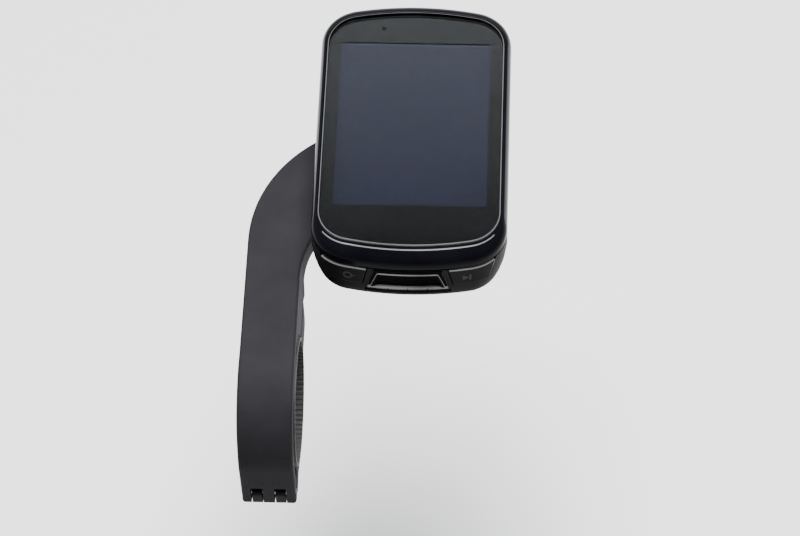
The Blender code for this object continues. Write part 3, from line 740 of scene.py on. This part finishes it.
def make_rear_case(materials):
    case = case_shell()
    add_twist_lock(case)
    cut_port(case)
    cut_screw_ways(case)
    slot_shape = stadium(POWER_Y, POWER_Z, 10.6, 4.0)
    combine(case, prism("power_opening", slot_shape, "X", rear_low.x - 2.0, rear_low.x + 3.0))
    combine(case, rod("vent_hole", 0.8, 20.0, 30.0, (CASE_X + 10.0, CASE_Y + 30.0, 0)))
    cut_button_openings(case)
    return piece(case, "computer", "satin_case", materials["case"], "rear_housing", angle=35)


def make_front_case(materials):
    outside = [case_loop(*level) for level in FRONT_SECTION]
    gap = 0.22
    side = GLASS_SIDE - gap
    end = GLASS_END - gap
    inside = [case_loop(42.16, side - 0.02, end - 0.02), case_loop(42.08, side, end),
              case_loop(40.2, side, end), case_loop(40.2, 3.9, 6.7), case_loop(39.2, 3.9, 6.7),
              case_loop(38.5, WALL, WALL + 1.3), case_loop(36.75, WALL, WALL + 1.0)]
    case = skin("front_rim", outside + inside, wrap=True)
    piece(case, "computer", "gloss_case", materials["gloss"], "front_housing", angle=28)

    # painted highlight: a thin band of the rim, at its lower end only
    def on_highlight_line(at, out):
        return (RIM_HIGHLIGHT_Z[0] < at.z < RIM_HIGHLIGHT_Z[1] and out.z > 0
                and at.y < rear_low.y + RIM_HIGHLIGHT_REACH)

    paint_highlight_faces(case, materials["edge"], on_highlight_line)


def make_glass(materials):
    """Cover glass, and the black border printed under it with its two windows."""
    top = glass_high.z
    levels = ((glass_low.z, 0.12), (glass_low.z + 0.12, 0.0), (top - 0.3, 0.0), (top - 0.22, 0.03),
              (top - 0.08, 0.16), (top - 0.02, 0.28), (top, 0.45), (top, 0.8))
    loops = [case_loop(z, GLASS_SIDE + inset, GLASS_END + inset) for z, inset in levels]
    glass = skin("display_glass", loops)
    piece(glass, "computer", "cover_glass", materials["glass"], "cover_glass", angle=60)
    # painted highlight on the narrow chamfer band just below the glass top
    paint_highlight_faces(glass, materials["glass_chamfer_highlight"], lambda at, out: top - 0.2 < at.z < top - 0.03)
    glass.visible_shadow = False
    low = glass_low.z - 0.06
    outer = [(x, y) for x, y, _ in case_loop(0, GLASS_SIDE + 0.25, GLASS_END + 0.25)]
    sheet = prism("border_print", outer, "Z", low, low + 0.04)
    half_w, half_h = SCREEN_W / 2, SCREEN_H / 2
    window = rectangle((CASE_X - half_w, SCREEN_Y - half_h), (CASE_X + half_w, SCREEN_Y + half_h))
    combine(sheet, prism("window", rounded(window, 0.35), "Z", low - 1.0, low + 1.0))
    eye = ((sensor_low + sensor_high) / 2).xy
    combine(sheet, rod("sensor_window", 0.65, low - 1.0, low + 1.0, (eye.x, eye.y, 0)))
    piece(sheet, "computer", "display", materials["print"])


# ---------------------------------------------------------------- buttons and cover
def ring(name, centre, outer, inner, low, high):
    """Flat ring in x and z, standing along y."""
    steps = 28
    loops = []
    for radius, y in ((inner, low), (outer, low), (outer, high), (inner, high)):
        loops.append([(x, y, z) for x, z in arc(centre, radius, 0, 360, steps)[:-1]])
    return skin(name, loops, wrap=True)


def lap_mark(x, z):
    """Plain ring with a bar through its side."""
    mark = ring("lap_symbol", (x, z), 1.2, 0.8, *SYMBOL_DEPTH)
    bar = prism("lap_bar", rectangle((x + 0.7, z - 0.22), (x + 1.8, z + 0.22)), "Y", *SYMBOL_DEPTH)
    return combine(mark, bar, "UNION")


def start_mark(x, z):
    """Plain triangle beside a bar."""
    triangle = [(x - 1.3, z - 1.0), (x + 0.5, z), (x - 1.3, z + 1.0)]
    mark = prism("start_symbol", triangle, "Y", *SYMBOL_DEPTH)
    bar = prism("start_bar", rectangle((x + 0.4, z - 1.0), (x + 0.9, z + 1.0)), "Y", *SYMBOL_DEPTH)
    return combine(mark, bar, "UNION")


def is_highlight_face(at, out):
    """Faces given a painted highlight: the upper edge of an end button, and the outer edge of the
    right one.
    """
    upper = at.z > BUTTON_Z[1] - 0.5 and out.z > 0.3 and out.y < 0.5
    outer = at.x > CASE_X + BUTTON_OUT[0] - 0.6 and 0.75 < out.x < 0.97
    return upper or outer


def make_end_buttons(materials):
    for name, sign, mark in (("lap", -1, lap_mark), ("start", 1, start_mark)):
        near = tuple(sign * x for x in BUTTON_IN)
        far = tuple(sign * x for x in BUTTON_OUT)
        outline = trapezoid(near, far, BUTTON_Z[0], BUTTON_Z[1], 0.35)
        plate = prism(name + "_plate", outline, "Y", -0.4, 1.6)
        round_edges(plate, 0.28, segments=4, angle=50)
        bend_on_wall(plate)
        piece(plate, name, "button_plastic", materials["button"], name + "_button", angle=40)
        # painted highlight on the button's upper edge and on the right button's outer end
        paint_highlight_faces(plate, materials["highlight_paint"], is_highlight_face)
        symbol = bend_on_wall(mark(sign * SYMBOL_X, SYMBOL_Z))
        piece(symbol, name, "button_plastic", materials["ink"])


def make_power_button(materials):
    outline = stadium(POWER_Y, POWER_Z, 10.0, 3.4)
    key = prism("power_key", outline, "X", power_low.x, power_high.x)
    round_edges(key, 0.25)
    bar = stadium(POWER_Y, POWER_Z, 3.0, 0.7)
    combine(key, prism("power_mark", bar, "X", power_low.x - 0.5, power_low.x + 0.12))
    piece(key, "power", "button_plastic", materials["button"], "power_button")


def make_port_cover(materials):
    """Flap with a sunk panel and a finger lip along its lower edge."""
    z_low, z_high = PORT_Z
    plate = port_outline(0.0, 0.0, z_low, z_high, 0.45)
    flap = prism("port_flap", plate, "Y", 0.05, 1.5)
    round_edges(flap, 0.15, angle=50)
    raised = port_outline(1.0, 0.8, z_low + 1.0, z_high - 1.1, 0.6)
    ridge = prism("ridge", raised, "Y", -0.3, 0.8)
    round_edges(ridge, 0.16, segments=2, angle=50)
    combine(flap, ridge, "UNION")
    sunk = port_outline(1.7, 1.5, z_low + 1.0, z_high - 1.75, 0.4)
    combine(flap, prism("sunk_panel", sunk, "Y", -2.0, 0.5))
    half = PORT_X[1] - 0.6
    lip = prism("finger_lip", rectangle((-half, z_low + 0.2), (half, z_low + 1.9)), "Y", -0.5, 0.9)
    round_edges(lip, 0.3, segments=4, angle=50)
    for k in range(3):
        x = (k - 1) * 5.0
        combine(lip, block("tick", (x - 0.12, -1.0, z_low - 1.0), (x + 0.12, -0.32, z_low + 3.0)))
    combine(flap, lip, "UNION")
    bend_on_wall(flap)
    piece(flap, "cover", "rubber", materials["cover"], "port_cover", angle=35)
    # painted highlight on the upward-facing faces of the flap's ridge and finger lip
    paint_highlight_faces(flap, materials["highlight_paint"],
               lambda at, out: out.y < 0.4 and out.z > 0.2 and at.z < z_high - 0.6)


# ---------------------------------------------------------------- CAD nodes that stay
def finish_cad_nodes(materials):
    looks = {
        "steel": ["hinge_pin", "usb_socket"],
        "bolt": ["bolt_washer", "beeper"] + ["housing_screw_%d" % k for k in (1, 2, 3, 4)],
        "brass": ["thread_insert"],
        "rubber": ["glass_adhesive", "housing_seal", "lap_seal", "start_seal", "power_seal"],
        "display": ["display_module"],
        "tin": ["display_frame", "processor_shield", "radio_shield", "lap_switch",
                "start_switch", "power_switch"],
        "film": ["display_flex"],
        "board": ["main_board"],
        "cell": ["battery"],
        "ceramic": ["satellite_antenna", "radio_antenna"],
        "white": ["battery_connector", "vent_membrane"],
        "sensor": ["light_sensor"],
    }
    for look, nodes in looks.items():
        for node in nodes:
            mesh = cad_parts[node].data
            mesh.materials.clear()
            mesh.materials.append(materials[look])


# ---------------------------------------------------------------- stage, light and camera
def make_floor():
    """Pale sheet, in metres like the frame."""
    low = cad_box[0].z - FLOOR_DROP * MM
    reach = 3.0
    corners = [(x, y, low) for x, y in rectangle((-reach, -reach), (reach, reach))]
    floor_object = from_faces("floor", corners, [(0, 1, 2, 3)])
    material, nodes, links = new_material("pale_paper")
    shader = nodes["Principled BSDF"]
    clouds = noise(nodes, links, 400.0, 2.0)
    colour = blend_colours(nodes, links, clouds, (0.85, 0.855, 0.86), (0.9, 0.905, 0.91))
    links.new(colour, shader.inputs["Base Color"])
    shader.inputs["Roughness"].default_value = 0.6
    floor_object.data.materials.append(material)


def make_world():
    """Pale studio surround: dark behind the camera and overhead, light ahead and at the sides."""
    world = bpy.data.worlds.new("studio")
    bpy.context.scene.world = world
    world.use_nodes = True
    nodes, links = world.node_tree.nodes, world.node_tree.links
    place = nodes.new("ShaderNodeTexCoord")
    axes = nodes.new("ShaderNodeSeparateXYZ")
    links.new(place.outputs["Generated"], axes.inputs["Vector"])
    ceiling = spread(nodes, links, axes.outputs["Z"], 0.795, 0.845, 1.4, 0.04)
    behind = spread(nodes, links, axes.outputs["Y"], -0.6, 0.05, 0.06, 1.0)
    across = spread(nodes, links, axes.outputs["X"], -1.0, 1.0, 1.15, 0.7)
    total = ceiling
    for part in (behind, across):
        both = nodes.new("ShaderNodeMath")
        both.operation = "MULTIPLY"
        links.new(total, both.inputs[0])
        links.new(part, both.inputs[1])
        total = both.outputs["Value"]
    path = nodes.new("ShaderNodeLightPath")
    shown = nodes.new("ShaderNodeMix")
    links.new(path.outputs["Is Camera Ray"], shown.inputs["Factor"])
    links.new(total, shown.inputs["A"])
    shown.inputs["B"].default_value = 0.85
    background = nodes["Background"]
    background.inputs["Color"].default_value = (0.95, 0.97, 1.0, 1.0)
    links.new(shown.outputs["Result"], background.inputs["Strength"])


def make_light(name, azimuth, elevation, distance, size, power):
    """Square soft light aimed at the object; azimuth 0 is ahead of the rider."""
    target = (cad_box[0] + cad_box[1]) / 2
    a, e = radians(azimuth), radians(elevation)
    away = Vector((sin(a) * cos(e), cos(a) * cos(e), sin(e)))
    data = bpy.data.lights.new(name, "AREA")
    data.size = size
    data.energy = power
    light = bpy.data.objects.new(name, data)
    light.location = target + away * distance
    light.rotation_mode = "QUATERNION"
    light.rotation_quaternion = away.to_track_quat("Z", "Y")
    bpy.context.scene.collection.objects.link(light)


def make_camera():
    """Camera on the rider's side of the object, at the photograph's viewing angle."""
    azimuth, elevation, roll = radians(3.777), radians(57.419), radians(-1.985)
    target = Vector((33.13, 26.03, 25.0))
    distance = 792.1
    back = Vector((sin(azimuth) * cos(elevation), -cos(azimuth) * cos(elevation), sin(elevation)))
    right = Vector((0, 0, 1)).cross(back).normalized()
    up = back.cross(right)
    across = cos(roll) * right + sin(roll) * up
    along = cos(roll) * up - sin(roll) * right
    data = bpy.data.cameras.new("camera")
    data.sensor_width = 36.0
    data.lens = 138.48
    data.clip_start = 0.01
    camera = bpy.data.objects.new("camera", data)
    pose = Matrix((across, along, back)).transposed().to_4x4()
    pose.translation = (target + back * distance) * MM
    camera.matrix_world = pose
    bpy.context.scene.collection.objects.link(camera)
    bpy.context.scene.camera = camera


# ---------------------------------------------------------------- assembly
materials = make_materials()
make_camera()
make_mount_arm(materials)
make_clamp_jaw(materials)
make_bar_pad(materials)
make_bolt(materials)
make_rear_case(materials)
make_front_case(materials)
make_glass(materials)
make_end_buttons(materials)
make_power_button(materials)
make_port_cover(materials)
finish_cad_nodes(materials)
make_floor()
make_world()
make_light("key_light", azimuth=10, elevation=82, distance=1.2, size=0.6, power=50.0)
